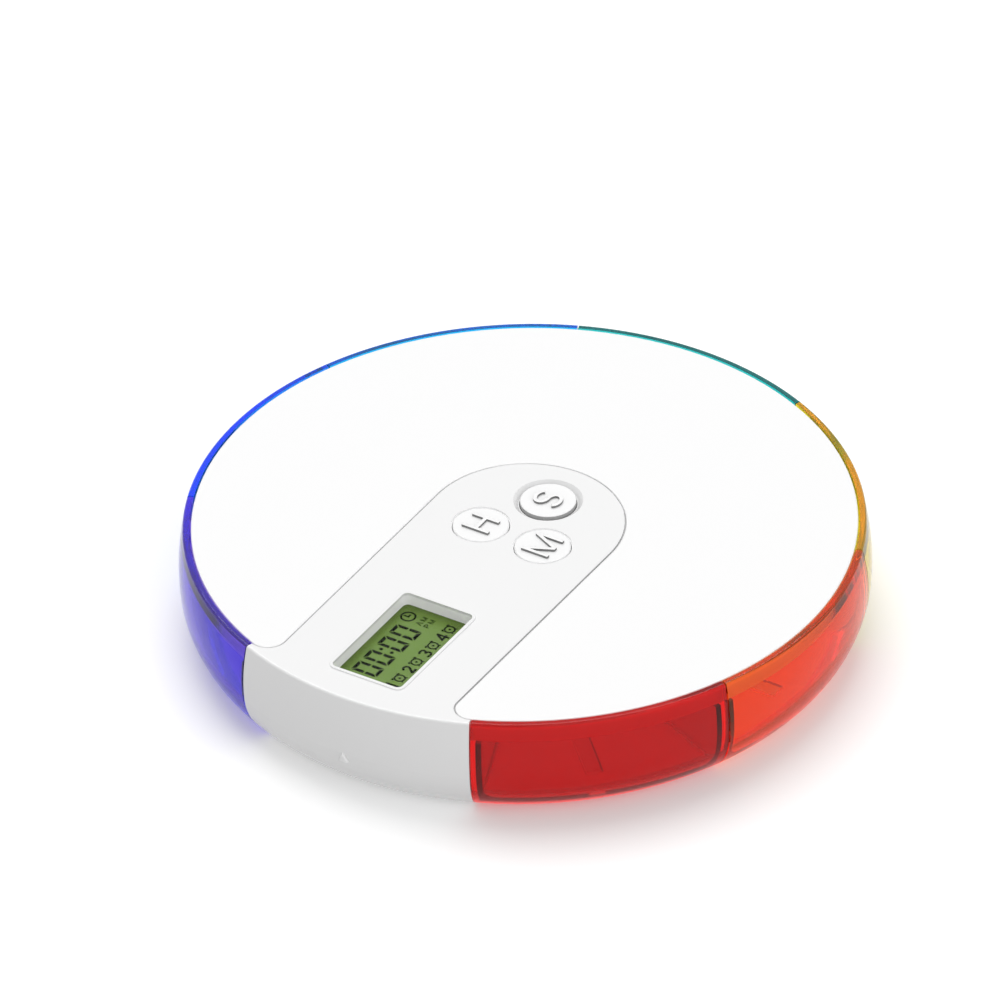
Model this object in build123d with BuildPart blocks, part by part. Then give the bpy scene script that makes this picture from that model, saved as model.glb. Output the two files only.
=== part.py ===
from build123d import *
from math import asin, cos, degrees, radians, sin, tan
import os

# Electronic pill box: a flat round case with seven drawers round its edge and a
# clock with an alarm in the middle. The disc's axis is Z, the white front faces -Y,
# and the feet stand on z = 0. All sizes are in millimetres.

# Overall form
body_diameter = 140.0  # at the widest line of the side
body_height = 23.2  # from the underside to the flat top
foot_height = 0.8  # the feet stand out below the underside
rim_inset = 1.1  # from the widest line in to the edge of the flat top
bulge_depth = 9.5  # the widest line lies this far below the top
bulge_turn = 5.0  # degrees that the upper arc runs on past the widest line
underside_inset = 6.0  # from the widest line in to where the side meets the underside
side_thickness = 2.0  # wall of the drawer fronts and of the housing's front
skirt_width = 4.7  # the sloping side's width at the underside
rim_rounding = 0.6  # outer top edge of the side

# Joins and clearances
seam_gap = 0.3  # between neighbouring fronts
slide_gap = 0.3  # round each drawer
snap_gap = 0.3  # round the battery door and behind the side wall
seat_gap = 0.05  # round screws, pegs and other parts that locate each other

# Top plate and the island in it
plate_step = 1.6  # width of the side's top round the plate
plate_thickness = 1.6
plate_corner = 3.8
plate_rounding = 0.25
island_half_width = 20.5
island_groove = 0.3
groove_depth = 0.45  # of the fine grooves round the island and the keys
rim_wall = 1.5
rim_drop = 2.4  # how far the rim under the deck reaches down behind the drawer fronts
peg_radius = 1.2
peg_setback = 17.3  # from the edge of the plate in to the pegs

# Display window
window_width = 16.3
window_length = 28.6
window_setback = 20.7  # from the island's front edge back to the middle of the window
window_corner = 1.2
window_depth = 2.6  # from the top down to the lens, and the thickness of the island
lip_width = 0.65
lip_height = 0.3
lip_rounding = 0.15

# Buttons
button_radius = 5.75
button_gap = 0.35  # width of the groove round a key
button_clearance = 0.15
button_rounding = 0.3
button_travel = 0.5
set_button_y = 9.1
side_button_x = 7.3
side_button_y = -4.9
dish_radius = 7.1
dish_depth = 0.95
flange_width = 1.1
flange_thickness = 0.8
stem_radius = 2.2

# Drawers
drawer_colours = ["red", "orange", "yellow", "teal", "light_blue", "blue", "indigo"]
first_drawer_angle = -45.0  # centre of the red drawer, from +X
drawer_wall = 1.2
drawer_floor = 1.8
drawer_corner = 4.5
scoop_radius = 2.4

# Base tray
floor_thickness = 1.6
core_radius = 30.6
core_wall = 1.2
partition = 1.2
rail_width = 3.0
rail_height = 1.0
rail_setback = 5.2  # from the core wall out to the start of a rail

# Battery bay: two AAA cells side by side under the display
cell_radius = 5.25
cell_length = 43.3
cell_nub_radius = 1.9
cell_nub_length = 1.2
cell_spacing = 10.9
bay_inset = 2.5  # from the inner edge of the side back to the bay's front wall
door_thickness = 1.6
door_width = 23.6
contact_thickness = 0.4
contact_width = 8.0
contact_space = 1.6  # between the end of a cell and its end wall
contact_margin = 0.6
end_wall = 1.2
end_wall_height = 8.6
latch_width = 2.2
latch_height = 5.0
latch_thickness = 0.8
thumb_radius = 4.5
thumb_depth = 0.6
thumb_setback = 9.0  # from the door's front end back to the middle of the thumb dish
ledge_inset = 1.8  # how far the ledges reach over the door
ledge_reach = 1.4  # how far they run out over the floor
ledge_thickness = 1.0
ledge_spans = [(2.3, 21.8), (32.8, 44.8)]  # measured back from the bay's front wall

# Circuit board and what it carries
board_thickness = 1.2
board_radius = 19.5
board_half_width = 10.6
board_setback = 4.8  # from the edge of the plate back to the front of the board
board_depth = 8.6  # from the top down to the board's upper face
switch_size = 6.0
switch_height = 3.5
plunger_radius = 1.7
plunger_gap = 0.1
plunger_sink = 1.2  # how far a plunger reaches into its switch
chip_size = 7.0
chip_height = 1.4
chip_clearance = 2.4  # from the display's holder back to the chip
buzzer_radius = 6.0
buzzer_height = 5.5
buzzer_y = 8.0
buzzer_port = 1.2
sound_hole_radius = 0.8
sound_circle_radius = 3.4
sound_hole_count = 6

# Display stack, from the lens down
lens_thickness = 0.6
panel_thickness = 1.9
panel_side_margin = 1.15
panel_end_margin = 1.4
lens_margin = 1.0
holder_wall = 1.0
holder_ledge = 1.4
strip_width = 1.1
strip_length = 26.0

# Screws and posts
post_radius = 2.8
case_screw_radius = 1.1
case_screw_length = 12.0
case_head_radius = 2.0
case_head_height = 1.7
case_head_sink = 2.6
post_join_height = 12.0  # where the posts of tray and housing meet
core_post_inset = 5.0  # from the core wall in to the middle of its posts
core_post_angles = [30, 90, 150]
front_post_setback = 17.3  # from the edge of the plate back to the front posts
front_post_clearance = 0.8  # from a front post to the partition beside it
board_post_radius = 2.1
board_screw_radius = 0.9
board_screw_length = 4.0
board_head_radius = 1.6
board_head_height = 0.8
board_post_places = [(15.2, 7.6), (-15.2, 7.6), (8.3, -17.0), (-8.3, -17.0)]

# Feet
foot_radius = 5.0
foot_count = 4
first_foot_angle = 45.0
foot_inset = 9.3  # from the inner edge of the side in to the middle of a foot
foot_sink = 0.6
foot_rounding = 0.4

# Places that follow from the sizes
base_z = foot_height
top_z = base_z + body_height
floor_top = base_z + floor_thickness
deck_z = top_z - window_depth
plate_z = top_z - plate_thickness
rim_z = deck_z - rim_drop
bulge_radius = body_diameter / 2
bulge_z = top_z - bulge_depth
underside_radius = bulge_radius - underside_inset
skirt_radius = underside_radius - skirt_width
plate_radius = bulge_radius - rim_inset - plate_step
window_y = window_setback - plate_radius
panel_width = window_width + 2 * panel_side_margin
panel_length = window_length + 2 * panel_end_margin
holder_width = panel_width + 2 * holder_wall
holder_length = panel_length + 2 * holder_wall
chip_y = window_y + holder_length / 2 + chip_clearance + chip_size / 2
sector = 360 / (len(drawer_colours) + 1)
seam_turn = degrees(seam_gap / bulge_radius)
front_angle = -90.0
drawer_low = floor_top + slide_gap
drawer_high = rim_z - slide_gap
drawer_back = core_radius + core_wall + slide_gap
drawer_side = partition / 2 + slide_gap
board_top = top_z - board_depth
board_low = board_top - board_thickness
button_places = {
    "hour": (-side_button_x, side_button_y),
    "minute": (side_button_x, side_button_y),
    "set": (0.0, set_button_y),
}
flange_radius = button_radius + flange_width
core_post_circle = core_radius - core_post_inset
front_post_y = front_post_setback - plate_radius
front_post_offset = post_radius + front_post_clearance + partition / 2
front_post_x = -front_post_y * tan(radians(sector / 2)) - front_post_offset / cos(
    radians(sector / 2)
)
case_post_places = [
    (core_post_circle * cos(radians(angle)), core_post_circle * sin(radians(angle)))
    for angle in core_post_angles
] + [(front_post_x, front_post_y), (-front_post_x, front_post_y)]
rail_start = core_radius + core_wall + rail_setback
rail_length = skirt_radius - snap_gap - rail_start
front_wall_y = bay_inset - skirt_radius
cell_z = floor_top + slide_gap + cell_radius
cell_total = cell_length + cell_nub_length
cell_front_y = front_wall_y + contact_space
cell_back_y = cell_front_y + cell_total
back_wall_y = cell_back_y + contact_space
door_length = cell_total + 2 * contact_space
door_y = (front_wall_y + back_wall_y) / 2

# The side's upper arc is upright at the widest line and ends at the edge of the flat top
upper_arc = (rim_inset**2 + bulge_depth**2) / (2 * rim_inset)
upper_centre = Vector(bulge_radius - upper_arc, bulge_z)
turn_normal = Vector(cos(radians(bulge_turn)), -sin(radians(bulge_turn)))


def lower_arc(inset, low_radius):
    """Centre and radius of the arc that runs on from the upper one to the underside."""
    turn_point = upper_centre + turn_normal * (upper_arc - inset)
    reach = Vector(low_radius, base_z) - turn_point
    radius = reach.dot(reach) / (-2 * reach.dot(turn_normal))
    return turn_point - turn_normal * radius, radius


def side_line(inset, low_radius):
    """Draw the side from the top to the underside, and return its two arcs."""
    radius = upper_arc - inset
    start = degrees(asin(bulge_depth / radius))
    upper = CenterArc(upper_centre, radius, start, -start - bulge_turn)
    centre, radius = lower_arc(inset, low_radius)
    end = degrees(asin((centre.Y - base_z) / radius))
    lower = CenterArc(centre, radius, -bulge_turn, bulge_turn - end)
    return upper, lower


def upright_plane(angle):
    """Plane through the disc's axis, with x outwards and y up."""
    outward = (cos(radians(angle)), sin(radians(angle)), 0)
    normal = (sin(radians(angle)), -cos(radians(angle)), 0)
    return Plane(origin=(0, 0, 0), x_dir=outward, z_dir=normal)


def level_plane(angle, z):
    """Level plane at a height, with x pointing outwards along an angle."""
    outward = (cos(radians(angle)), sin(radians(angle)), 0)
    return Plane(origin=(0, 0, z), x_dir=outward, z_dir=(0, 0, 1))


def side_band(plane):
    """Section of the side wall that drawer fronts and housing front share."""
    with BuildSketch(plane) as band:
        with BuildLine():
            outer = side_line(0, underside_radius)
            inner = side_line(side_thickness, skirt_radius)
            Line(outer[0] @ 0, inner[0] @ 0)
            Line(outer[1] @ 1, inner[1] @ 1)
        make_face()
        rim = band.vertices().group_by(Axis.Y)[-1].sort_by(Axis.X)[-1]
        fillet(rim, rim_rounding)
    return band.sketch


def body_section(plane, inset, low_radius):
    """Section of the whole body inside its side, from the axis outwards."""
    with BuildSketch(plane) as section:
        with BuildLine():
            upper, lower = side_line(inset, low_radius)
            Line(upper @ 0, (0, top_z))
            Line((0, top_z), (0, base_z))
            Line((0, base_z), lower @ 1)
        make_face()
    return section.sketch


def wedge(plane, inner, outer, side, corner=0):
    """Wedge of one sector between two radii, kept a distance clear of both seams."""
    inner_half = sector / 2 - degrees(asin(side / inner))
    outer_half = sector / 2 - degrees(asin(side / outer))
    with BuildSketch(plane) as shape:
        with BuildLine():
            back = CenterArc((0, 0), inner, -inner_half, 2 * inner_half)
            front = CenterArc((0, 0), outer, -outer_half, 2 * outer_half)
            Line(back @ 0, front @ 0)
            Line(back @ 1, front @ 1)
        make_face()
        if corner:
            fillet(shape.vertices().sort_by(Axis.X)[:2], corner)
    return shape.sketch


def drawer_places(radius):
    """Places on a circle, one in the middle of each drawer."""
    return PolarLocations(
        radius, len(drawer_colours), first_drawer_angle, 360 - 2 * sector, endpoint=True
    )


def plate_outline(plane, grow):
    """Round plate with its keyhole cut-out, grown outwards by a margin."""
    with BuildSketch(plane) as outline:
        Circle(plate_radius)
        Circle(island_half_width, mode=Mode.SUBTRACT)
        with Locations((0, -plate_radius)):
            Rectangle(2 * island_half_width, 2 * plate_radius, mode=Mode.SUBTRACT)
        corners = outline.vertices().group_by(Axis.Y)[0]
        fillet(corners, plate_corner)
        if grow:
            offset(amount=grow, kind=Kind.ARC)
    return outline.sketch


# Top plate: the white cover with pegs that locate it in the housing's deck
drawer_angles = [first_drawer_angle + sector * step for step in range(len(drawer_colours))]
with BuildPart() as top_plate:
    extrude(plate_outline(Plane.XY.offset(plate_z), 0), amount=plate_thickness)
    fillet(top_plate.faces().sort_by(Axis.Z)[-1].edges(), plate_rounding)
    with BuildSketch(Plane.XY.offset(plate_z)):
        with drawer_places(plate_radius - peg_setback):
            Circle(peg_radius)
    extrude(amount=deck_z - plate_z)

# Upper housing: deck, island and the white front of the side wall in one moulding
with BuildPart() as upper_housing:
    with BuildSketch(Plane.XY.offset(deck_z)):
        Circle(plate_radius)
    extrude(amount=window_depth)
    # Raised lip round the window
    with BuildSketch(Plane.XY.offset(top_z)):
        with Locations((0, window_y)):
            RectangleRounded(
                window_width + 2 * lip_width,
                window_length + 2 * lip_width,
                window_corner + lip_width,
            )
    extrude(amount=lip_height)
    lip_edges = upper_housing.faces().sort_by(Axis.Z)[-1].edges()
    fillet(lip_edges, lip_rounding)
    # White front, then the pocket for the plate with a fine groove at its top
    front_start = upright_plane(front_angle - (sector - seam_turn) / 2)
    revolve(side_band(front_start), axis=Axis.Z, revolution_arc=sector - seam_turn)
    pocket = plate_outline(Plane.XY.offset(plate_z), seat_gap)
    extrude(pocket, amount=plate_thickness, mode=Mode.SUBTRACT)
    groove = plate_outline(Plane.XY.offset(top_z - groove_depth), island_groove)
    extrude(groove, amount=groove_depth, mode=Mode.SUBTRACT)
    # Rim under the deck, all the way round except behind the white front
    with BuildSketch(upright_plane(front_angle + sector / 2)):
        with Locations((plate_radius - rim_wall / 2, deck_z - rim_drop / 2)):
            Rectangle(rim_wall, rim_drop)
    revolve(axis=Axis.Z, revolution_arc=360 - sector)
    # Posts for the screws that hold the case and the board
    with BuildSketch(Plane.XY.offset(post_join_height)):
        with Locations(*case_post_places):
            Circle(post_radius)
    extrude(amount=deck_z - post_join_height)
    with BuildSketch(Plane.XY.offset(board_top)):
        with Locations(*board_post_places):
            Circle(board_post_radius)
    extrude(amount=deck_z - board_top)
    with BuildSketch(Plane.XY.offset(post_join_height)):
        with Locations(*case_post_places):
            Circle(case_screw_radius + seat_gap)
    extrude(amount=deck_z - post_join_height, mode=Mode.SUBTRACT)
    with BuildSketch(Plane.XY.offset(board_top)):
        with Locations(*board_post_places):
            Circle(board_screw_radius + seat_gap)
    extrude(amount=deck_z - board_top, mode=Mode.SUBTRACT)
    with BuildSketch(Plane.XY.offset(deck_z)):
        with Locations((0, window_y)):
            RectangleRounded(window_width, window_length, window_corner)
    extrude(amount=window_depth + lip_height, mode=Mode.SUBTRACT)
    # Button holes, with a groove round each and a dish round the set button
    with BuildSketch(Plane.XY.offset(deck_z)):
        with Locations(*button_places.values()):
            Circle(button_radius + button_clearance)
    extrude(amount=window_depth, mode=Mode.SUBTRACT)
    with BuildSketch(Plane.XY.offset(top_z - groove_depth)):
        with Locations(*button_places.values()):
            Circle(button_radius + button_gap)
    extrude(amount=groove_depth, mode=Mode.SUBTRACT)
    with Locations((0, set_button_y, top_z - dish_depth)):
        Cone(
            button_radius + button_gap,
            dish_radius,
            dish_depth,
            align=(Align.CENTER, Align.CENTER, Align.MIN),
            mode=Mode.SUBTRACT,
        )
    # Peg holes in the deck
    with BuildSketch(Plane.XY.offset(deck_z)):
        with drawer_places(plate_radius - peg_setback):
            Circle(peg_radius + seat_gap)
    extrude(amount=plate_z - deck_z, mode=Mode.SUBTRACT)

# Base tray: floor, core wall and partitions, trimmed to the inside of the side wall
with BuildPart() as base_tray:
    with BuildSketch(Plane.XY.offset(base_z)):
        Circle(bulge_radius)
    extrude(amount=floor_thickness)
    with BuildSketch(Plane.XY.offset(floor_top)):
        Circle(core_radius + core_wall)
        Circle(core_radius, mode=Mode.SUBTRACT)
    extrude(amount=deck_z - floor_top)
    front_bay = wedge(
        level_plane(front_angle, floor_top), core_radius - core_wall, bulge_radius, partition / 2
    )
    extrude(front_bay, amount=deck_z - floor_top, mode=Mode.SUBTRACT)
    partition_length = bulge_radius - core_radius
    with BuildSketch(Plane.XY.offset(floor_top)):
        with PolarLocations(
            core_radius + partition_length / 2, len(drawer_colours) + 1, sector / 2
        ):
            Rectangle(partition_length, partition)
    extrude(amount=deck_z - floor_top)
    inside = body_section(Plane.XZ, side_thickness + snap_gap, skirt_radius - snap_gap)
    revolve(inside, axis=Axis.Z, mode=Mode.INTERSECT)
    # Notches in the partitions for the rim under the deck
    with BuildSketch(Plane.XY.offset(rim_z)):
        Circle(bulge_radius)
        Circle(plate_radius - rim_wall - snap_gap, mode=Mode.SUBTRACT)
    extrude(amount=rim_drop, mode=Mode.SUBTRACT)
    # Guide rail under each drawer
    with BuildSketch(Plane.XY.offset(floor_top)):
        with drawer_places(rail_start + rail_length / 2):
            Rectangle(rail_length, rail_width)
    extrude(amount=rail_height)
    # Walls at the ends of the cells, and the opening that the door closes
    with BuildSketch(Plane.XY.offset(floor_top)):
        with Locations((0, front_wall_y - end_wall / 2), (0, back_wall_y + end_wall / 2)):
            Rectangle(door_width, end_wall)
    extrude(amount=end_wall_height)
    with BuildSketch(Plane.XY.offset(base_z)):
        with Locations((0, door_y)):
            Rectangle(door_width + 2 * snap_gap, door_length)
    extrude(amount=floor_thickness, mode=Mode.SUBTRACT)
    ledge_width = ledge_inset + ledge_reach
    ledge_x = door_width / 2 - ledge_inset + ledge_width / 2
    with BuildSketch(Plane.XY.offset(floor_top)):
        for start, end in ledge_spans:
            ledge_y = front_wall_y + (start + end) / 2
            with Locations((ledge_x, ledge_y), (-ledge_x, ledge_y)):
                Rectangle(ledge_width, end - start)
    extrude(amount=ledge_thickness)
    # Screw posts with sunk heads
    with BuildSketch(Plane.XY.offset(floor_top)):
        with Locations(*case_post_places):
            Circle(post_radius)
    extrude(amount=post_join_height - floor_top)
    with BuildSketch(Plane.XY.offset(base_z)):
        with Locations(*case_post_places):
            Circle(case_screw_radius + seat_gap)
    extrude(amount=post_join_height - base_z, mode=Mode.SUBTRACT)
    with BuildSketch(Plane.XY.offset(base_z)):
        with Locations(*case_post_places):
            Circle(case_head_radius + seat_gap)
    extrude(amount=case_head_sink, mode=Mode.SUBTRACT)
    # Seats for the feet and holes under the buzzer
    with BuildSketch(Plane.XY.offset(base_z)):
        with PolarLocations(skirt_radius - foot_inset, foot_count, first_foot_angle):
            Circle(foot_radius + seat_gap)
    extrude(amount=foot_sink, mode=Mode.SUBTRACT)
    with BuildSketch(Plane.XY.offset(base_z)):
        with Locations((0, buzzer_y)):
            with PolarLocations(sound_circle_radius, sound_hole_count):
                Circle(sound_hole_radius)
            Circle(sound_hole_radius)
    extrude(amount=floor_thickness, mode=Mode.SUBTRACT)


def make_drawer(colour, angle):
    """One pull-out drawer, with its curved front and a scooped inside."""
    with BuildPart() as scoop:
        inside = wedge(
            level_plane(angle, drawer_low + drawer_floor),
            drawer_back + drawer_wall,
            bulge_radius,
            drawer_side + drawer_wall,
            drawer_corner,
        )
        extrude(inside, amount=drawer_high - drawer_low)
        fillet(scoop.faces().sort_by(Axis.Z)[0].edges(), scoop_radius)
        room = body_section(Plane.XZ, side_thickness, skirt_radius)
        revolve(room, axis=Axis.Z, mode=Mode.INTERSECT)
    with BuildPart() as drawer:
        box = wedge(level_plane(angle, drawer_low), drawer_back, bulge_radius, drawer_side)
        extrude(box, amount=drawer_high - drawer_low)
        room = body_section(Plane.XZ, side_thickness / 2, skirt_radius)
        revolve(room, axis=Axis.Z, mode=Mode.INTERSECT)
        front = side_band(upright_plane(angle - (sector - seam_turn) / 2))
        revolve(front, axis=Axis.Z, revolution_arc=sector - seam_turn)
        # Room behind the top of the front for the plate, the deck and its rim
        with BuildSketch(Plane.XY.offset(drawer_high)):
            Circle(plate_radius + slide_gap)
        extrude(amount=top_z - drawer_high, mode=Mode.SUBTRACT)
        add(scoop.part, mode=Mode.SUBTRACT)
        # Channel that runs over the guide rail
        channel_end = rail_start + rail_length + slide_gap
        with BuildSketch(level_plane(angle, drawer_low)):
            with Locations((channel_end / 2, 0)):
                Rectangle(channel_end, rail_width + 2 * slide_gap)
        extrude(amount=rail_height, mode=Mode.SUBTRACT)
    drawer.part.label = "drawer_" + colour
    return drawer.part


drawers = [make_drawer(*pair) for pair in zip(drawer_colours, drawer_angles)]


def make_button(name, place):
    """Round key with a flange that keeps it in its hole and a stem under it."""
    x, y = place
    switch_top = board_top + switch_height
    stem_low = switch_top + button_travel + plunger_gap
    flange_low = deck_z - seat_gap - flange_thickness
    with BuildPart() as button:
        with BuildSketch(Plane.XY.offset(flange_low)):
            with Locations((x, y)):
                Circle(flange_radius)
        extrude(amount=flange_thickness)
        with BuildSketch(Plane.XY.offset(flange_low)):
            with Locations((x, y)):
                Circle(button_radius)
        extrude(amount=top_z - flange_low)
        fillet(button.faces().sort_by(Axis.Z)[-1].edges(), button_rounding)
        with BuildSketch(Plane.XY.offset(stem_low)):
            with Locations((x, y)):
                Circle(stem_radius)
        extrude(amount=flange_low - stem_low)
    button.part.label = "button_" + name
    return button.part


def make_plunger(name, place):
    """Plunger of one switch, pushed down by the button's stem."""
    switch_top = board_top + switch_height
    with BuildPart() as plunger:
        with BuildSketch(Plane.XY.offset(switch_top - plunger_sink + button_travel)):
            with Locations(place):
                Circle(plunger_radius)
        extrude(amount=plunger_sink + plunger_gap)
    plunger.part.label = "plunger_" + name
    return plunger.part


buttons = [make_button(*pair) for pair in button_places.items()]
plungers = [make_plunger(*pair) for pair in button_places.items()]

# Switches: square bodies with a bore for the plunger
with BuildPart() as tact_switches:
    with BuildSketch(Plane.XY.offset(board_top)):
        with Locations(*button_places.values()):
            Rectangle(switch_size, switch_size)
    extrude(amount=switch_height)
    with BuildSketch(Plane.XY.offset(board_top + switch_height)):
        with Locations(*button_places.values()):
            Circle(plunger_radius + plunger_gap)
    extrude(amount=-plunger_sink, mode=Mode.SUBTRACT)

# Circuit board: a keyhole like the island, with holes for its screws
with BuildPart() as circuit_board:
    with BuildSketch(Plane.XY.offset(board_low)):
        Circle(board_radius)
        board_length = plate_radius - board_setback
        with Locations((0, -board_length / 2)):
            Rectangle(2 * board_half_width, board_length)
        with Locations(*board_post_places):
            Circle(board_screw_radius + seat_gap, mode=Mode.SUBTRACT)
    extrude(amount=board_thickness)

with BuildPart() as board_chip:
    with BuildSketch(Plane.XY.offset(board_top)):
        with Locations((0, chip_y)):
            Rectangle(chip_size, chip_size)
    extrude(amount=chip_height)

with BuildPart() as board_screws:
    with BuildSketch(Plane.XY.offset(board_low - board_head_height)):
        with Locations(*board_post_places):
            Circle(board_head_radius)
    extrude(amount=board_head_height)
    with BuildSketch(Plane.XY.offset(board_low)):
        with Locations(*board_post_places):
            Circle(board_screw_radius)
    extrude(amount=board_screw_length)

# Buzzer: a round can under the board with a sound port facing down
with BuildPart() as buzzer:
    with BuildSketch(Plane.XY.offset(board_low - buzzer_height)):
        with Locations((0, buzzer_y)):
            Circle(buzzer_radius)
    extrude(amount=buzzer_height)
    with BuildSketch(Plane.XY.offset(board_low - buzzer_height)):
        with Locations((0, buzzer_y)):
            Circle(buzzer_port)
    extrude(amount=buzzer_height / 2, mode=Mode.SUBTRACT)

# Display: lens, panel, holder and rubber contact strips
lens_low = deck_z - lens_thickness
panel_low = lens_low - panel_thickness
with BuildPart() as lcd_lens:
    with BuildSketch(Plane.XY.offset(lens_low)):
        with Locations((0, window_y)):
            RectangleRounded(
                window_width + 2 * lens_margin, window_length + 2 * lens_margin, window_corner
            )
    extrude(amount=lens_thickness)

with BuildPart() as lcd_panel:
    with BuildSketch(Plane.XY.offset(panel_low)):
        with Locations((0, window_y)):
            Rectangle(panel_width, panel_length)
    extrude(amount=panel_thickness)

with BuildPart() as lcd_frame:
    with BuildSketch(Plane.XY.offset(board_top)):
        with Locations((0, window_y)):
            Rectangle(holder_width, holder_length)
    extrude(amount=lens_low - board_top)
    with BuildSketch(Plane.XY.offset(panel_low)):
        with Locations((0, window_y)):
            Rectangle(panel_width + 2 * seat_gap, panel_length + 2 * seat_gap)
    extrude(amount=panel_thickness, mode=Mode.SUBTRACT)
    with BuildSketch(Plane.XY.offset(board_top)):
        with Locations((0, window_y)):
            Rectangle(panel_width - holder_ledge, panel_length - holder_ledge)
    extrude(amount=panel_low - board_top, mode=Mode.SUBTRACT)

strip_x = (panel_width - holder_ledge - strip_width) / 2 - seat_gap
with BuildPart() as lcd_connectors:
    with BuildSketch(Plane.XY.offset(board_top)):
        with Locations((strip_x, window_y), (-strip_x, window_y)):
            Rectangle(strip_width, strip_length)
    extrude(amount=panel_low - board_top)

# Two cells lying side by side, nubs to the back on one and to the front on the other
with BuildPart() as battery_cells:
    for side, nub_y, body_y in (
        (1, cell_back_y, cell_front_y),
        (-1, cell_front_y, cell_back_y),
    ):
        x = side * cell_spacing / 2
        with BuildSketch(Plane(origin=(x, body_y, cell_z), x_dir=(1, 0, 0), z_dir=(0, side, 0))):
            Circle(cell_radius)
        extrude(amount=cell_length)
        with BuildSketch(Plane(origin=(x, nub_y, cell_z), x_dir=(1, 0, 0), z_dir=(0, -side, 0))):
            Circle(cell_nub_radius)
        extrude(amount=cell_nub_length)

# Contacts: a bent strip at each end of each cell, pressed between cell and wall
with BuildPart() as battery_contacts:
    for wall_y, inward in ((front_wall_y, 1), (back_wall_y, -1)):
        for x in (cell_spacing / 2, -cell_spacing / 2):
            leaf = Plane(origin=(x, wall_y, floor_top), x_dir=(0, inward, 0), z_dir=(inward, 0, 0))
            with BuildSketch(leaf.offset(-contact_width / 2)):
                with BuildLine():
                    Polyline(
                        (seat_gap + contact_thickness / 2, contact_margin),
                        (seat_gap + contact_thickness / 2, end_wall_height - contact_margin),
                        (contact_space - contact_thickness, cell_z - floor_top),
                        (contact_space - contact_thickness, cell_z - floor_top - cell_nub_radius),
                    )
                trace(line_width=contact_thickness)
            extrude(amount=contact_width)

# Battery door: a flush plate with a springy latch at its front end and a thumb dish
door_front_y = front_wall_y + snap_gap
with BuildPart() as battery_door:
    with BuildSketch(Plane.XY.offset(base_z)):
        with Locations((0, door_y)):
            Rectangle(door_width, door_length - 2 * snap_gap)
    extrude(amount=door_thickness)
    with BuildSketch(Plane.XY.offset(base_z + door_thickness)):
        with Locations((0, door_front_y + latch_thickness / 2)):
            Rectangle(latch_width, latch_thickness)
    extrude(amount=latch_height)
    with BuildSketch(Plane.XY.offset(base_z)):
        with Locations((0, door_front_y + thumb_setback)):
            Circle(thumb_radius)
    extrude(amount=thumb_depth, mode=Mode.SUBTRACT)

# Screws that hold the case together from below
with BuildPart() as case_screws:
    with BuildSketch(Plane.XY.offset(base_z + case_head_sink - case_head_height)):
        with Locations(*case_post_places):
            Circle(case_head_radius)
    extrude(amount=case_head_height)
    with BuildSketch(Plane.XY.offset(base_z + case_head_sink)):
        with Locations(*case_post_places):
            Circle(case_screw_radius)
    extrude(amount=case_screw_length)

# Feet in their seats
with BuildPart() as rubber_feet:
    with BuildSketch():
        with PolarLocations(skirt_radius - foot_inset, foot_count, first_foot_angle):
            Circle(foot_radius)
    extrude(amount=base_z + foot_sink)
    fillet(rubber_feet.faces().group_by(Axis.Z)[0].edges(), foot_rounding)

named = {
    "top_plate": top_plate,
    "upper_housing": upper_housing,
    "base_tray": base_tray,
    "tact_switches": tact_switches,
    "circuit_board": circuit_board,
    "board_chip": board_chip,
    "board_screws": board_screws,
    "buzzer": buzzer,
    "lcd_lens": lcd_lens,
    "lcd_panel": lcd_panel,
    "lcd_frame": lcd_frame,
    "lcd_connectors": lcd_connectors,
    "battery_cells": battery_cells,
    "battery_contacts": battery_contacts,
    "battery_door": battery_door,
    "case_screws": case_screws,
    "rubber_feet": rubber_feet,
}
os.makedirs("parts", exist_ok=True)
for name, piece in named.items():
    piece.part.label = name
    export_step(piece.part, f"parts/{name}.step")
for part in drawers + buttons + plungers:
    export_step(part, f"parts/{part.label}.step")
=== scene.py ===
from math import cos, log, radians, sin

import bmesh
import bpy
from mathutils import Matrix, Vector


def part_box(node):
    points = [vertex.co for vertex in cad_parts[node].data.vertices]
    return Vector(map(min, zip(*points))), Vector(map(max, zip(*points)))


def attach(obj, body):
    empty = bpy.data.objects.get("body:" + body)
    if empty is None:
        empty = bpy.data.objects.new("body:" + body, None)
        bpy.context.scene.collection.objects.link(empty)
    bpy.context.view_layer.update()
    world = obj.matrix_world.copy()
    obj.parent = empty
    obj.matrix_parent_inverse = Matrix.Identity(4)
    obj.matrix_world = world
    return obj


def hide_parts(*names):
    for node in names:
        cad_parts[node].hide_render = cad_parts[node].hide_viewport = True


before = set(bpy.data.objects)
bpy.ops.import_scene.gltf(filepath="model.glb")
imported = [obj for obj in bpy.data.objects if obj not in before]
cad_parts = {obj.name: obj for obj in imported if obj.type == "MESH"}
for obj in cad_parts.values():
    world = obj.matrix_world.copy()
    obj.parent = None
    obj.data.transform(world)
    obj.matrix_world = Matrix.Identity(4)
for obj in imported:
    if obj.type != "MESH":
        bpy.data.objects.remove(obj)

bl_info = {
    "name": "Seven day pill box",
    "version": (1, 0, 0),
    "blender": (4, 5, 0),
    "location": "3D View > Sidebar > Pill box",
    "description": "Dresses the packed pill box: plastics, display, key letters and stage",
    "category": "Object",
}


def middle_of(name):
    """Middle of a CAD node's box."""
    low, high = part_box(name)
    return (low + high) / 2


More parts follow.
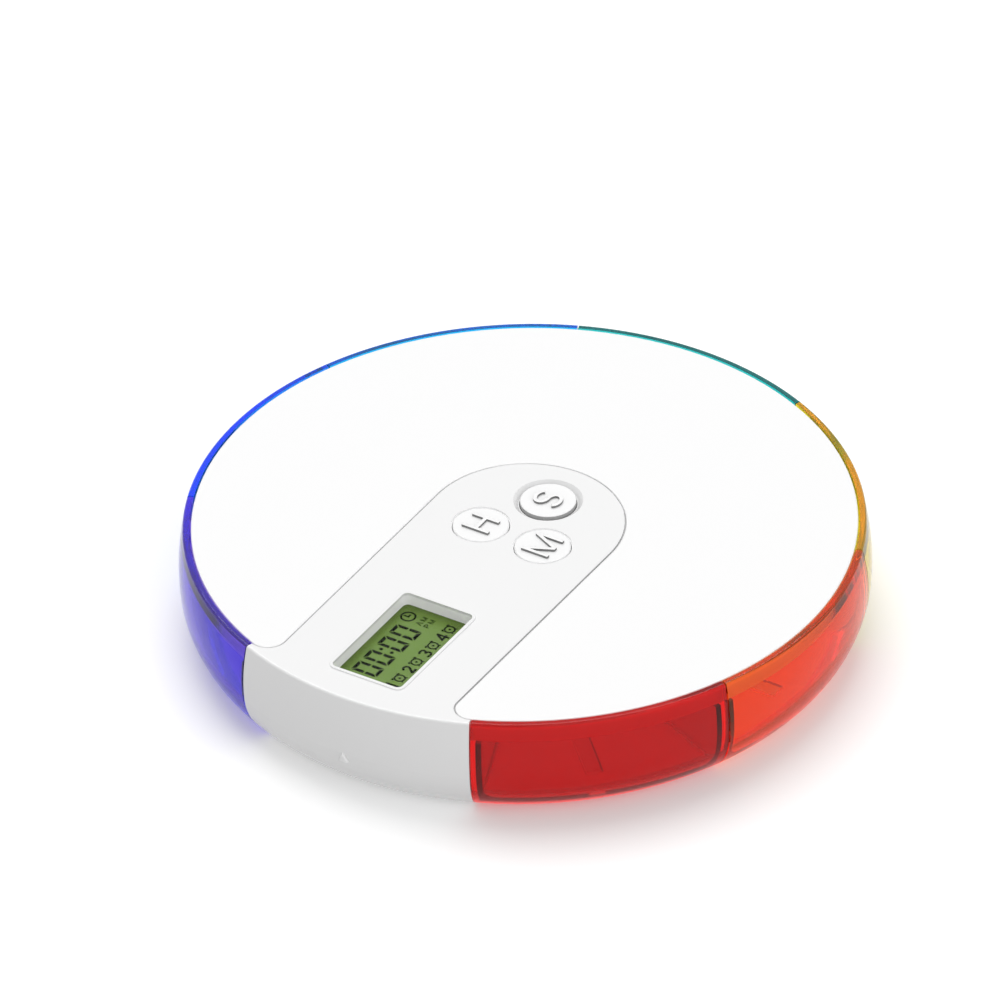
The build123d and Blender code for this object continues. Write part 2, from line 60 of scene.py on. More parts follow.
MM = 0.001
MERGE = 1e-7  # points nearer than this are one point
UPWARDS = (0, 0, 1)
BLACK, WHITE = (0, 0, 0), (1, 1, 1)
DAYS = ("red", "orange", "yellow", "teal", "light_blue", "blue", "indigo")
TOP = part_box("button_set")[1].z  # the flat top, flush with the keys
KEYS = {name: middle_of("button_" + name) for name in ("hour", "minute", "set")}
PANEL_LOW, PANEL_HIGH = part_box("lcd_panel")
PANEL_HALF = (PANEL_HIGH - PANEL_LOW) / 2
WINDOW = middle_of("lcd_panel")

# Clear plastic. Its index is lower than the real one, at which the fronts' upper sides turn grey.
CLEAR = {"Transmission Weight": 0.94, "IOR": 1.23, "Specular IOR Level": 0.15, "Coat Weight": 0.2}
DYE_DEPTH = 2.6 * MM  # plastic of this depth has a drawer's full colour
DYE_FLOOR = 0.02  # least share of a colour that this depth lets through
# Painted glow in the drawers' rims and feet, standing in for the highlight along the rim and the floor's
# reflection at the foot
RIM_FADE = (TOP - 1.0 * MM, TOP - 0.6 * MM)  # heights where the rim's painted glow starts and is full
FOOT_FADE = (4.4 * MM, 1.4 * MM)
RIM_GLOW, FOOT_GLOW, FOOT_BASE = 0.12, 0.42, 0.02
THROWN_BACK = 0.35  # share of a painted glow that is left for light thrown back by another surface
BAY_GLOW, RIM_BEHIND_GLOW = 0.84, 0.25  # painted glow on white plastic where it shows through the clear fronts
# Painted glow that lifts the shade in the display's recess and in the gaps round the hour and minute keys
WINDOW_GLOW, KEY_GAP_GLOW = 0.13, 0.12
# Painted shade: greys for the groove round the clock panel, the set key's sides and the letters' sides
GROOVE_SHADE, KEY_SIDE_SHADE, LETTER_SIDE_SHADE = 0.62, 0.36, 0.2

# Boxes on the housing in mm that hold the painted glow and shade: the middle, with its height from the
# flat top, and the half size
KEY_GAPS = ((0, -5, -0.3), (14.5, 6.5, 0.25))
PANEL_AND_GROOVE = ((0, -16, -0.5), (66, 46, 0.44))
PANEL_ALONE = ((0, -27, -0.5), (15.2, 45, 1))

# Places on the display in mm from its middle: along the digits, then towards their tops
CLOCK_DIGITS = (-8.0, -3.6, 1.75, 6.3)
CLOCK_ROW, ALARM_ROW = 3.34, -3.85
COLON, COLON_DOTS, COLON_RADIUS = -0.9, (2.1, 4.6), 0.42
CLOCK_SIGN, CLOCK_RADIUS = (11.2, 5.7), 1.46
CLOCK_HANDS = ((-0.05, 1.0), (-0.05, -0.1), (0.8, -0.1))
ALARM_START, ALARM_STEP, ALARM_EDGE = -10.4, 6.36, -10.1
ALARM_DIGIT, ALARM_SIGN, ALARM_SIGN_RADIUS = (2.9, 1.95), 2.95, 1.06
HALF_DAY_FIRST, HALF_DAY_SECOND, HALF_DAY_ROWS = 10.3, 12.0, (2.45, 0.65)
LETTER_A = ((-0.5, -0.6), (0, 0.6), (0.5, -0.6))
LETTER_P = ((-0.4, -0.6), (-0.4, 0.6), (0.15, 0.6), (0.42, 0.3), (0.15, 0), (-0.3, 0))

# The photograph's camera: angles in degrees, and the rest in the picture's own pixels
AZIMUTH, ELEVATION, ROLL = 32.5, 36.04, 1.381
PICTURE_WIDTH, PIXEL = 1002, 0.20153 * MM  # a pixel's size at the object
AIM_RIGHT, AIM_UP = -23.5, 21.95  # from the middle of the top to the middle of the picture


def size(name, description, default):
    """A length in millimetres that a user can change."""
    return bpy.props.FloatProperty(
        name=name, description=description, default=default * MM, unit="LENGTH", precision=5
    )


def colour(name, description, default):
    """A colour written as sRGB numbers from 0 to 255 and kept as linear light."""
    linear = [((c / 255 + 0.055) / 1.055) ** 2.4 if c > 10 else c / 255 / 12.92 for c in default]
    return bpy.props.FloatVectorProperty(
        name=name, description=description, default=linear, subtype="COLOR", size=3, min=0, max=1
    )


class PillBoxSizes(bpy.types.PropertyGroup):
    """Sizes of the small forms that are added to the CAD"""

    letter_height: size("Letter height", "Height of the letters on the keys", 6.2)
    letter_stroke: size("Letter stroke", "Width of a letter's stroke", 0.78)
    letter_rise: size("Letter rise", "How far the letters stand out of the keys", 0.52)
    letter_edge: size("Letter edge", "Rounding of the letters' top edges", 0.08)
    digit_height: size("Digit height", "Height of the clock's digits", 6.0)
    digit_width: size("Digit width", "Width of the clock's digits", 3.35)
    digit_stroke: size("Digit stroke", "Width of a digit's bars", 0.8)
    digit_gap: size("Digit gap", "Gap between the bars of a digit", 0.2)
    ink_thickness: size("Ink thickness", "Thickness of the display's dark shapes", 0.02)
    lens_gap: size("Lens gap", "Air between the display and its lens", 0.06)
    lens_corner: size("Lens corner", "Corner rounding of the display's lens", 1.2)
    arrow_width: size("Arrow width", "Width of the small raised arrow on the front", 2.1)
    arrow_height: size("Arrow height", "Height of the arrow along the front", 2.3)
    arrow_place: size("Arrow place", "Height of the arrow's middle above the floor", 10.0)
    arrow_rise: size("Arrow rise", "How far the arrow stands out of the front", 0.5)
    recess_reach: size("Recess reach", "Length of each arm of a screw head's cross", 1.15)
    recess_width: size("Recess width", "Width of the arms of a screw head's cross", 0.6)
    recess_depth: size("Recess depth", "Depth of a screw head's cross", 0.95)
    thread_pitch: size("Thread pitch", "Distance between the ridges of a screw's thread", 0.8)
    groove_radius: size("Foot groove", "Radius of the round groove in each foot", 3.3)
    rib_pitch: size("Rib pitch", "Distance between the thumb ribs of the battery door", 1.3)
    rib_width: size("Rib width", "Width of a thumb rib", 0.55)


class PillBoxColours(bpy.types.PropertyGroup):
    """Colours of the pill box"""

    plate: colour("Plate", "White top cover", (246, 246, 246))
    island: colour("Island", "Clock panel and white front", (243, 243, 243))
    tray: colour("Tray", "Tray under the drawers", (240, 240, 240))
    red: colour("Red", "Red drawer", (226, 24, 26))
    orange: colour("Orange", "Orange drawer", (242, 168, 92))
    yellow: colour("Yellow", "Amber drawer", (240, 232, 100))
    teal: colour("Teal", "Teal drawer", (92, 212, 212))
    light_blue: colour("Light blue", "Light blue drawer", (84, 208, 242))
    blue: colour("Blue", "Blue drawer", (90, 184, 246))
    indigo: colour("Indigo", "Indigo drawer", (174, 146, 234))
    display: colour("Display", "Reflective green of the display", (92, 124, 34))
    ink: colour("Ink", "Dark shapes on the display", (8, 12, 4))
    ghost: colour("Ghost", "Faint unlit shapes on the display", (38, 54, 16))
    jacket: colour("Jacket", "Sleeve of the battery cells", (30, 110, 74))
    band: colour("Band", "Pale band at a cell's plus end", (214, 212, 200))


# Nodes of materials


def grey(strength):
    """A grey as the three parts of a colour."""
    return (strength, strength, strength)


def fill(tree, node, **values):
    """Links or sets a node's inputs, by their names or by an underscore and their number."""
    for key, value in values.items():
        socket = node.inputs[int(key[1:]) if key[0] == "_" else key.replace("_", " ")]
        if isinstance(value, bpy.types.NodeSocket):
            tree.links.new(value, socket)
        else:
            socket.default_value = value
    return node


def add_node(tree, kind, settings=None, **values):
    """A new node with its own settings and the values of its inputs."""
    node = tree.nodes.new("ShaderNode" + kind)
    for key, value in (settings or {}).items():
        setattr(node, key, value)
    return fill(tree, node, **values)


def calculate(tree, operation, *values, kind="Math", **settings):
    """Output of a maths node, or of a vector maths node."""
    inputs = {f"_{number}": value for number, value in enumerate(values)}
    return add_node(tree, kind, {"operation": operation, **settings}, **inputs).outputs[0]


def rescale(tree, value, low, high, start=0.0, end=1.0, smooth=False):
    """Output that runs from start to end while a value runs from low to high."""
    settings = {"interpolation_type": "SMOOTHSTEP"} if smooth else {}
    span = {"From_Min": low, "From_Max": high, "To_Min": start, "To_Max": end}
    return add_node(tree, "MapRange", settings, Value=value, **span).outputs[0]


def noise(tree, place, scale, detail):
    """Output of a soft noise from 0 to 1."""
    return add_node(tree, "TexNoise", Vector=place, Scale=scale, Detail=detail).outputs["Fac"]


def blend_colours(tree, factor, first, second, how="MIX"):
    """Output of a colour mix, whose node has its factor and colours at the inputs 0, 6 and 7."""
    first, second = (
        value if isinstance(value, bpy.types.NodeSocket) else (*value, 1) for value in (first, second)
    )
    settings = {"data_type": "RGBA", "blend_type": how}
    return add_node(tree, "Mix", settings, _0=factor, _6=first, _7=second).outputs[2]


def object_place(tree):
    """Output with the place on the object, in its own coordinates."""
    return add_node(tree, "TexCoord").outputs["Object"]


def split(tree, vector):
    """Outputs X, Y and Z of a vector."""
    return add_node(tree, "SeparateXYZ", Vector=vector).outputs


# Node groups that several materials share


def node_group(name, inputs, outputs=(("Mask", "NodeSocketFloat"),)):
    """A shader node group with its two ends; inputs are (label, default)."""
    kinds = {float: "NodeSocketFloat", tuple: "NodeSocketVector", list: "NodeSocketColor"}
    group = bpy.data.node_groups.new(name, "ShaderNodeTree")
    for label, default in inputs:
        kind = kinds[type(default)]
        group.interface.new_socket(label, in_out="INPUT", socket_type=kind).default_value = default
    for label, kind in outputs:
        group.interface.new_socket(label, in_out="OUTPUT", socket_type=kind)
    return group, group.nodes.new("NodeGroupInput").outputs, group.nodes.new("NodeGroupOutput")


def moulded_surface():
    """Fine grain, soft waviness and slight tone changes of injection moulded plastic."""
    group, given, end = node_group(
        "moulded_surface",
        [
            ("Colour", [0.8, 0.8, 0.8, 1]),
            ("Tone Change", 0.04),
            ("Low Roughness", 0.3),
            ("High Roughness", 0.45),
            ("Grain Size", 3000.0),
            ("Wave Size", 90.0),
        ],
        [("Colour", "NodeSocketColor"), ("Roughness", "NodeSocketFloat"), ("Height", "NodeSocketFloat")],
    )
    place = object_place(group)
    wave = noise(group, place, given["Wave Size"], 2.0)
    grain = noise(group, place, given["Grain Size"], 3.0)
    amount = calculate(group, "MULTIPLY", wave, given["Tone Change"])
    darker = blend_colours(group, 1.0, given["Colour"], grey(0.5), "MULTIPLY")
    wave_height = 4.0  # as a multiple of the grain's height
    fill(
        group,
        end,
        Colour=blend_colours(group, amount, given["Colour"], darker),
        Roughness=rescale(group, grain, 0.3, 0.7, given["Low Roughness"], given["High Roughness"]),
        Height=calculate(group, "MULTIPLY_ADD", wave, wave_height, grain),
    )
    return group


def flow_lines():
    """Streaks round the disc's axis where tinted plastic flowed into its mould, as a mask."""
    group, given, end = node_group("flow_lines", [("Streak Size", 260.0), ("Strength", 0.2)])
    place = object_place(group)
    parts = split(group, place)
    around = calculate(group, "ARCTAN2", parts["Y"], parts["X"])
    stretch = 0.006  # metres of the noise for one radian, so that the streaks run on far
    slow = calculate(group, "MULTIPLY", around, stretch)
    out = add_node(group, "VectorMath", {"operation": "LENGTH"}, _0=place).outputs["Value"]
    flat = add_node(group, "CombineXYZ", X=slow, Y=out, Z=parts["Z"]).outputs[0]
    streaks = noise(group, flat, given["Streak Size"], 3.0)
    fill(group, end, Mask=rescale(group, streaks, 0.4, 0.7, 0.0, given["Strength"]))
    return group


def height_fade():
    """Mask that runs from 0 to 1 between two heights."""
    group, given, end = node_group("height_fade", [("Low", 0.0), ("High", 0.02)])
    height = split(group, object_place(group))["Z"]
    fill(group, end, Mask=rescale(group, height, given["Low"], given["High"], smooth=True))
    return group


def steep_sides():
    """Mask of faces that stand upright, such as the sides of letters and keys."""
    group, given, end = node_group("steep_sides", [("Flatness", 0.5)])
    facing = add_node(group, "NewGeometry").outputs["True Normal"]
    level = calculate(group, "ABSOLUTE", split(group, facing)["Z"])
    fill(group, end, Mask=calculate(group, "LESS_THAN", level, given["Flatness"]))
    return group


def box_mask():
    """Mask of what lies inside a box with its sides along the axes."""
    group, given, end = node_group("box_mask", [("Middle", (0, 0, 0)), ("Half Size", (1, 1, 1))])
    away = calculate(group, "SUBTRACT", object_place(group), given["Middle"], kind="VectorMath")
    far = calculate(group, "ABSOLUTE", away, kind="VectorMath")
    left = calculate(group, "SUBTRACT", given["Half Size"], far, kind="VectorMath")
    parts = split(group, left)
    least = calculate(group, "MINIMUM", parts["X"], parts["Y"])
    least = calculate(group, "MINIMUM", least, parts["Z"])
    fill(group, end, Mask=calculate(group, "GREATER_THAN", least, 0.0))
    return group


def place_group(tree, maker, **values):
    """Outputs of a shared group, which is built the first time it is asked for."""
    node = tree.nodes.new("ShaderNodeGroup")
    node.node_tree = bpy.data.node_groups.get(maker.__name__) or maker()
    return fill(tree, node, **values).outputs


# Materials


def new_material(name, tint, shading):
    """A material with its Principled shader, whose colour is still to be linked."""
    material = bpy.data.materials.new(name + "_finish")
    material.use_nodes = True
    material.diffuse_color = (*tint, 1)
    tree = material.node_tree
    return material, tree, fill(tree, tree.nodes["Principled BSDF"], **shading)


def made(name):
    """A material that new_material has made already."""
    return bpy.data.materials[name + "_finish"]


def surface_of(material):
    """A finished material's node tree, its Principled shader and the colour linked to that."""
    tree = material.node_tree
    shader = tree.nodes["Principled BSDF"]
    return tree, shader, shader.inputs["Base Color"].links[0].from_socket


def moulded(tree, shader, tint, tone, rough, bump=None, **sizes):
    """Colour of a moulded surface, with its roughness and relief linked to the shader."""
    surface = place_group(
        tree,
        moulded_surface,
        Colour=(*tint, 1),
        Tone_Change=tone,
        Low_Roughness=rough[0],
        High_Roughness=rough[1],
        **sizes,
    )
    fill(tree, shader, Roughness=surface["Roughness"])
    if bump is not None:
        relief = add_node(tree, "Bump", Distance=bump, Height=surface["Height"])
        fill(tree, shader, Normal=relief.outputs[0])
    return surface["Colour"]


def glow_with(material, light, sampling="NONE"):
    """Lets a material give off light; a sampling of NONE means that it isn't treated as a lamp."""
    tree, shader, _ = surface_of(material)
    fill(tree, shader, Emission_Color=light, Emission_Strength=1.0)
    material.cycles.emission_sampling = sampling


def plastic(name, tint, rough=(0.3, 0.4), tone=0.03, bump=0.01 * MM, grain=2500, **shading):
    """Opaque moulded plastic."""
    material, tree, shader = new_material(name, tint, shading)
    fill(tree, shader, Base_Color=moulded(tree, shader, tint, tone, rough, bump, Grain_Size=grain))
    return material


def smooth_white(name, tint):
    """White plastic from a polished mould."""
    return plastic(name, tint, (0.3, 0.36), tone=0.01, bump=0.003 * MM)


def metal(name, tint, rough=(0.25, 0.4)):
    """Plated or rolled metal with fine scratches."""
    return plastic(name, tint, rough, tone=0.2, bump=0.004 * MM, grain=6000, Metallic=1.0)


def shade_sides(material, shade):
    """Paints shade on the upright faces of a plastic."""
    tree, shader, surface = surface_of(material)
    sides = place_group(tree, steep_sides, Flatness=0.6)["Mask"]
    fill(tree, shader, Base_Color=blend_colours(tree, sides, surface, grey(shade)))


def seen_through(tree):
    """1 for what shows through clear plastic, less for light thrown back, 0 for what is seen directly."""
    ray = add_node(tree, "LightPath").outputs
    straight = calculate(tree, "LESS_THAN", ray["Diffuse Depth"], 0.5)
    part = calculate(tree, "MULTIPLY_ADD", straight, 1 - THROWN_BACK, THROWN_BACK)
    return calculate(tree, "MULTIPLY", part, ray["Is Transmission Ray"])


def seen_directly(tree):
    """1 for the camera and for what shows in gloss and through glass, 0 for light thrown back."""
    ray = add_node(tree, "LightPath").outputs
    mirrored = calculate(tree, "MAXIMUM", ray["Is Camera Ray"], ray["Is Glossy Ray"])
    return calculate(tree, "MAXIMUM", mirrored, ray["Is Transmission Ray"])


def light_bays(material):
    """Painted glow on the white bays where they show through the clear fronts."""
    tree = material.node_tree
    glow_with(material, blend_colours(tree, seen_through(tree), BLACK, grey(BAY_GLOW)))


def housing_white(tint):
    """White plastic with painted shade in the groove round the clock panel and a painted glow in its
    openings and where it shows through the clear fronts.
    """
    material = plastic("housing_white", tint, (0.12, 0.17), tone=0.01, bump=0.0015 * MM)
    tree, shader, surface = surface_of(material)

    def inside(middle, half_size):
        x, y, below = (c * MM for c in middle)
        half = [c * MM for c in half_size]
        return place_group(tree, box_mask, Middle=(x, y, TOP + below), Half_Size=half)["Mask"]

    # Painted glow in the display's recess and the key gaps, and where the housing shows through the clear
    # fronts
    walls = [side / MM for side in PANEL_HALF + Vector((1.0 * MM, 1.0 * MM, 0))]
    window = inside((WINDOW.x / MM, WINDOW.y / MM, -1.7), (*walls[:2], 1.4))
    glow = blend_colours(tree, window, BLACK, grey(WINDOW_GLOW))
    glow = blend_colours(tree, inside(*KEY_GAPS), glow, grey(KEY_GAP_GLOW))
    glow_with(material, blend_colours(tree, seen_through(tree), glow, grey(RIM_BEHIND_GLOW)))
    # Painted shade in the groove round the clock panel
    panels = inside(*PANEL_AND_GROOVE), inside(*PANEL_ALONE)
    groove = calculate(tree, "SUBTRACT", *panels, use_clamp=True)
    fill(tree, shader, Base_Color=blend_colours(tree, groove, surface, grey(GROOVE_SHADE)))
    return material


def tinted_plastic(name, tint):
    """Clear plastic that takes its colour from its depth, with a painted glow in its rim and foot."""
    material, tree, shader = new_material(name, tint, CLEAR)
    surface = moulded(tree, shader, tint, 0.03, (0.02, 0.05), 0.002 * MM)
    streaks = place_group(tree, flow_lines, Strength=0.1)["Mask"]
    deeper = [c * 0.8 for c in tint]
    fill(tree, shader, Base_Color=blend_colours(tree, streaks, surface, deeper))
    losses = [-log(max(c / max(tint) ** 0.5, DYE_FLOOR)) / DYE_DEPTH for c in tint]
    density = max(losses)
    kept = [1 - loss / density for loss in losses]
    dye = add_node(tree, "VolumeAbsorption", Color=(*kept, 1), Density=density)
    fill(tree, tree.nodes["Material Output"], Volume=dye.outputs[0])
    # Painted glow in the rim and foot, standing in for the rim's highlight and the floor's reflection
    rim = place_group(tree, height_fade, Low=RIM_FADE[0], High=RIM_FADE[1])["Mask"]
    foot = place_group(tree, height_fade, Low=FOOT_FADE[0], High=FOOT_FADE[1])["Mask"]
    light = blend_colours(tree, rim, BLACK, [RIM_GLOW * c * c for c in tint])
    light = blend_colours(tree, foot, light, [FOOT_GLOW * c * c + FOOT_BASE for c in tint])
    thrown = add_node(tree, "LightPath").outputs["Is Diffuse Ray"]
    dim = blend_colours(tree, thrown, WHITE, grey(THROWN_BACK))
    glow_with(material, blend_colours(tree, 1.0, light, dim, "MULTIPLY"))
    return material


def cell_jacket(tint, pale, bands):
    """Shrunk sleeve of the cells with a pale band; bands are the middles of the banded ends."""
    material = plastic("cell_jacket", tint, (0.2, 0.3), tone=0.15)
    tree, shader, surface = surface_of(material)
    reach = (6 * MM, 5 * MM, 6 * MM)
    for middle in bands:
        band = place_group(tree, box_mask, Middle=middle, Half_Size=reach)["Mask"]
        surface = blend_colours(tree, band, surface, pale)
    fill(tree, shader, Base_Color=surface)
    return material


def display_green(tint):
    """Reflective green film, darker near the edges of the window."""
    material, tree, shader = new_material("display_green", tint, {"Specular IOR Level": 0.3})
    place = split(tree, object_place(tree))
    edges = []
    for letter, middle, half in (("X", WINDOW.x, PANEL_HALF.x), ("Y", WINDOW.y, PANEL_HALF.y)):
        away = calculate(tree, "ABSOLUTE", calculate(tree, "SUBTRACT", place[letter], middle))
        edges.append(rescale(tree, away, half * 0.55, half * 0.95, end=0.35, smooth=True))
    surface = moulded(tree, shader, tint, 0.12, (0.4, 0.5))
    olive = (tint[0] * 0.8, tint[1] * 0.62, tint[2] * 0.45)
    shaded = blend_colours(tree, calculate(tree, "MAXIMUM", *edges), surface, olive)
    fill(tree, shader, Base_Color=shaded)
    return material


def clear_lens():
    """Clear cover of the display."""
    clear = {"Transmission Weight": 1.0, "IOR": 1.12, "Specular IOR Level": 0.0}
    material, tree, shader = new_material("clear_lens", grey(0.9), clear)
    fill(tree, shader, Base_Color=moulded(tree, shader, WHITE, 0.01, (0.0, 0.03)))
    return material


def circuit_green():
    """Solder resist over copper tracks."""
    resist = (0.02, 0.15, 0.05)
    material, tree, shader = new_material("board_green", resist, {"Specular IOR Level": 0.5})
    settings = {"distance": "CHEBYCHEV"}
    cells = add_node(tree, "TexVoronoi", settings, Vector=object_place(tree), Scale=260.0)
    track = rescale(tree, cells.outputs["Distance"], 0.32, 0.36)
    shade = blend_colours(tree, track, (0.015, 0.12, 0.045), (0.05, 0.28, 0.1))
    surface = moulded(tree, shader, WHITE, 0.1, (0.25, 0.4))
    fill(tree, shader, Base_Color=blend_colours(tree, 1.0, shade, surface, "MULTIPLY"))
    return material


def floor_paper():
    """White paper that looks lighter to the camera and in gloss than the light it throws back."""
    material = plastic("floor_paper", grey(0.96), (0.8, 0.9), tone=0.005, bump=0.0)
    tree, shader, paper = surface_of(material)
    seen = seen_directly(tree)
    fill(tree, shader, Base_Color=blend_colours(tree, seen, grey(0.34), paper))
    glow_with(material, blend_colours(tree, seen, grey(0.26), grey(0.2)), "AUTO")
    return material


def finish_node(name, material):
    """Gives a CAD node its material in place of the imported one."""
    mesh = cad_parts[name].data
    mesh.materials.clear()
    mesh.materials.append(material)


# Shapes


def keep_mesh(name, shape, material, body):
    """Turns a finished bmesh into a piece that rides on a body."""
    bmesh.ops.remove_doubles(shape, verts=shape.verts, dist=MERGE)
    bmesh.ops.recalc_face_normals(shape, faces=shape.faces)
    mesh = bpy.data.meshes.new(name)
    shape.to_mesh(mesh)
    shape.free()
    mesh.shade_smooth()
    mesh.set_sharp_from_angle(angle=radians(35))
    mesh.materials.append(material)
    piece = bpy.data.objects.new(name, mesh)
    bpy.context.scene.collection.objects.link(piece)
    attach(piece, body)
    return piece


def round_edges(shape, edges, radius, segments):
    """Bevels edges to a round of some segments."""
    bmesh.ops.bevel(
        shape, geom=edges, offset=radius, segments=segments, profile=0.5, affect="EDGES", material=-1
    )


def raise_face(shape, outline, low, high, edge=0.0):
    """Slab with a flat outline between two heights, its top edge rounded if asked."""
    base = shape.faces.new([shape.verts.new((x, y, low)) for x, y in outline])
    lifted = bmesh.ops.extrude_face_region(shape, geom=[base])["geom"]
    top = [v for v in lifted if isinstance(v, bmesh.types.BMVert)]
    bmesh.ops.translate(shape, verts=top, vec=(0, 0, high - low))
    if edge:
        cap = next(f for f in lifted if isinstance(f, bmesh.types.BMFace))
        round_edges(shape, list(cap.edges), edge, 3)


def spin_outline(shape, outline, foot, axis, steps):
    """Round form from an outline of (distance from the axis, place along it), both from the foot point."""
    axis = Vector(axis)
    aside = axis.orthogonal().normalized()
    points = [shape.verts.new(foot + aside * out + axis * along) for out, along in outline]
    edges = [shape.edges.new(pair) for pair in zip(points, points[1:])]
    bmesh.ops.spin(
        shape, geom=points + edges, cent=foot, axis=axis, angle=radians(360), steps=steps, use_merge=True
    )
    bmesh.ops.remove_doubles(shape, verts=shape.verts, dist=MERGE)


def cross_recess(shape, foot, reach, width, depth):
    """Closes the open ring of a screw head with a face that has a cross sunk into it.

    The cross lies a little below the ring, so that the bridge between them knows which way it goes.
    """
    rim = [edge for edge in shape.edges if edge.is_boundary]
    half, narrowing = width / 2, 0.6
    arm, outline = [(half, half), (reach, half), (reach, -half)], []
    for _ in range(4):
        outline += arm
        arm = [(y, -x) for x, y in arm]
    points = [shape.verts.new(foot + Vector((x, y, 0))) for x, y in outline]
    arms = [shape.edges.new(pair) for pair in zip(points, points[1:] + points[:1])]
    bmesh.ops.bridge_loops(shape, edges=rim + arms)
    sunk = bmesh.ops.extrude_edge_only(shape, edges=arms)["geom"]
    low = [v for v in sunk if isinstance(v, bmesh.types.BMVert)]
    bmesh.ops.translate(shape, verts=low, vec=(0, 0, depth))
    taper = Matrix.Diagonal((narrowing, narrowing, 1.0, 1.0))
    about_foot = Matrix.Translation(foot) @ taper @ Matrix.Translation(-foot)
    bmesh.ops.transform(shape, matrix=about_foot, verts=low)
    bmesh.ops.edgeloop_fill(shape, edges=[e for e in shape.edges if e.is_boundary])


def islands(name):
    """Foot point, half width and height of each separate solid in a CAD node, in order of place."""
    copy = bmesh.new()
    copy.from_mesh(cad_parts[name].data)
    bmesh.ops.remove_doubles(copy, verts=copy.verts, dist=10 * MERGE)
    left, found = set(copy.verts), []
    while left:
        reached, front = set(), [left.pop()]
        while front:
            point = front.pop()
            reached.add(point)
            near = {edge.other_vert(point) for edge in point.link_edges} & left
            front += near
            left -= near
        low, high = (Vector(pick(v.co[i] for v in reached) for i in range(3)) for pick in (min, max))
        foot = Vector(((low.x + high.x) / 2, (low.y + high.y) / 2, low.z))
        found.append((foot, (high.x - low.x) / 2, high.z - low.z))
    copy.free()
    return sorted(found, key=lambda island: tuple(island[0]))


def stroke_outline(path, width):
    """Outline of a stroke of even width along a path, with its corners mitred."""
    left, right = [], []
    longest_mitre = 0.3  # least share of the stroke's turn that still stretches a corner
    for i, (x, y) in enumerate(path):
        before, after = path[max(i - 1, 0)], path[min(i + 1, len(path) - 1)]
        ahead = Vector((after[0] - x, after[1] - y)).normalized() if after != (x, y) else None
        behind = Vector((x - before[0], y - before[1])).normalized() if before != (x, y) else None
        ahead, behind = ahead or behind, behind or ahead
        along = (ahead + behind).normalized()
        reach = width / 2 / max(along.dot(ahead), longest_mitre)
        left.append((x - along.y * reach, y + along.x * reach))
        right.append((x + along.y * reach, y - along.x * reach))
    return left + right[::-1]


def arc(x, y, radius_x, radius_y, start, end, steps=12):
    """Points on an ellipse's arc, with angles in degrees."""
    turns = [radians(start + (end - start) * i / steps) for i in range(steps + 1)]
    return [(x + radius_x * cos(a), y + radius_y * sin(a)) for a in turns]


def ring(radius, width, parts=2, steps=14):
    """A ring as arcs laid end to end."""
    span = 360 / parts
    return [
        stroke_outline(arc(0, 0, radius, radius, span * i, span * (i + 1), steps), width)
        for i in range(parts)
    ]


def on_top(outline, x, y):
    """Turns an outline drawn upright so that it reads along +Y with its top towards -X."""
    return [(x - v, y + u) for u, v in outline]


def letter_h(h, w):
    """Letter H of a height and a stroke width."""
    half, bar = h * 0.33 + w / 2, w / 2
    corner = [(half, -h / 2), (half, h / 2), (half - w, h / 2), (half - w, bar)]
    inner = [(-half + w, -bar), (half - w, -bar), (half - w, -h / 2)]
    outer = [(-half + w, bar), (-half + w, h / 2), (-half, h / 2)]
    return [[(-half, -h / 2), (-half + w, -h / 2), *inner, *corner, *outer]]


def letter_m(h, w):
    """Letter M of a height and a stroke width, its slanted strokes a little wider."""
    half, slant = h * 0.465 + w / 2, w * 1.08
    inner = h / 2 - h * (half - slant) / (half - slant / 2)
    leg = h / 2 - h * w / (half - slant / 2)
    feet = [(-half, -h / 2), (-half + w, -h / 2), (-half + w, leg), (-slant / 2, -h / 2)]
    feet += [(-u, v) for u, v in feet[::-1]]
    top = [(half, h / 2), (half - slant, h / 2), (0, inner), (-half + slant, h / 2), (-half, h / 2)]
    return [feet + top]


def letter_s(h, w):
    """Letter S of a height and a stroke width."""
    rise, reach = (h - w) / 4, h * 0.3
    spine = arc(0, rise, reach, rise, 20, 270, 22) + arc(0, -rise, reach, rise, 90, -160, 22)[1:]
    return [stroke_outline(spine, w)]


LETTERS = {"hour": letter_h, "minute": letter_m, "set": letter_s}


def clock_nought(width, height, stroke, gap):
    """The six lit bars of a seven bar nought about its middle, each with slanted ends."""
    x, y, s, g = width / 2, height / 2, stroke, gap / 2
    slope, middle = s * 0.9, g * 1.7  # slant of the level bars, and half the gap between the side bars
    level = [(-x + g * 2, y), (x - g * 2, y), (x - g * 2 - slope, y - s), (-x + g * 2 + slope, y - s)]
    side = [(-x, y - g * 2), (-x + s, y - s - g * 2), (-x + s, s * 0.3 + g), (-x + s * 0.5, middle)]
    side.append((-x, middle))
    mirrored = [(1, 1), (-1, 1), (-1, -1), (1, -1)]
    bars = [[(u * across, v * up) for u, v in side] for across, up in mirrored]
    return bars + [level, [(u, -v) for u, v in level]]


def small_digit(number, h, w):
    """Rounded digits of the alarm row."""
    s = w * 0.25
    t = h / 2 - s / 2
    paths = {
        1: [[(-w * 0.3, t * 0.55), (0, t), (0, -h / 2)]],
        2: [
            arc(0, t - w * 0.36, w * 0.36, w * 0.36, 170, -35, 9) + [(-w * 0.36, -t)],
            [(-w * 0.36, -t), (w * 0.46, -t)],
        ],
        3: [
            arc(-w * 0.06, t * 0.5, w * 0.4, t * 0.5, 150, -90, 10),
            arc(-w * 0.06, -t * 0.5, w * 0.44, t * 0.5, 90, -150, 10),
        ],
        4: [
            [(w * 0.2, -h / 2), (w * 0.2, h / 2)],
            [(w * 0.12, t), (-w * 0.42, -t * 0.45), (w * 0.5, -t * 0.45)],
        ],
    }
    return [stroke_outline(path, s) for path in paths[number]]


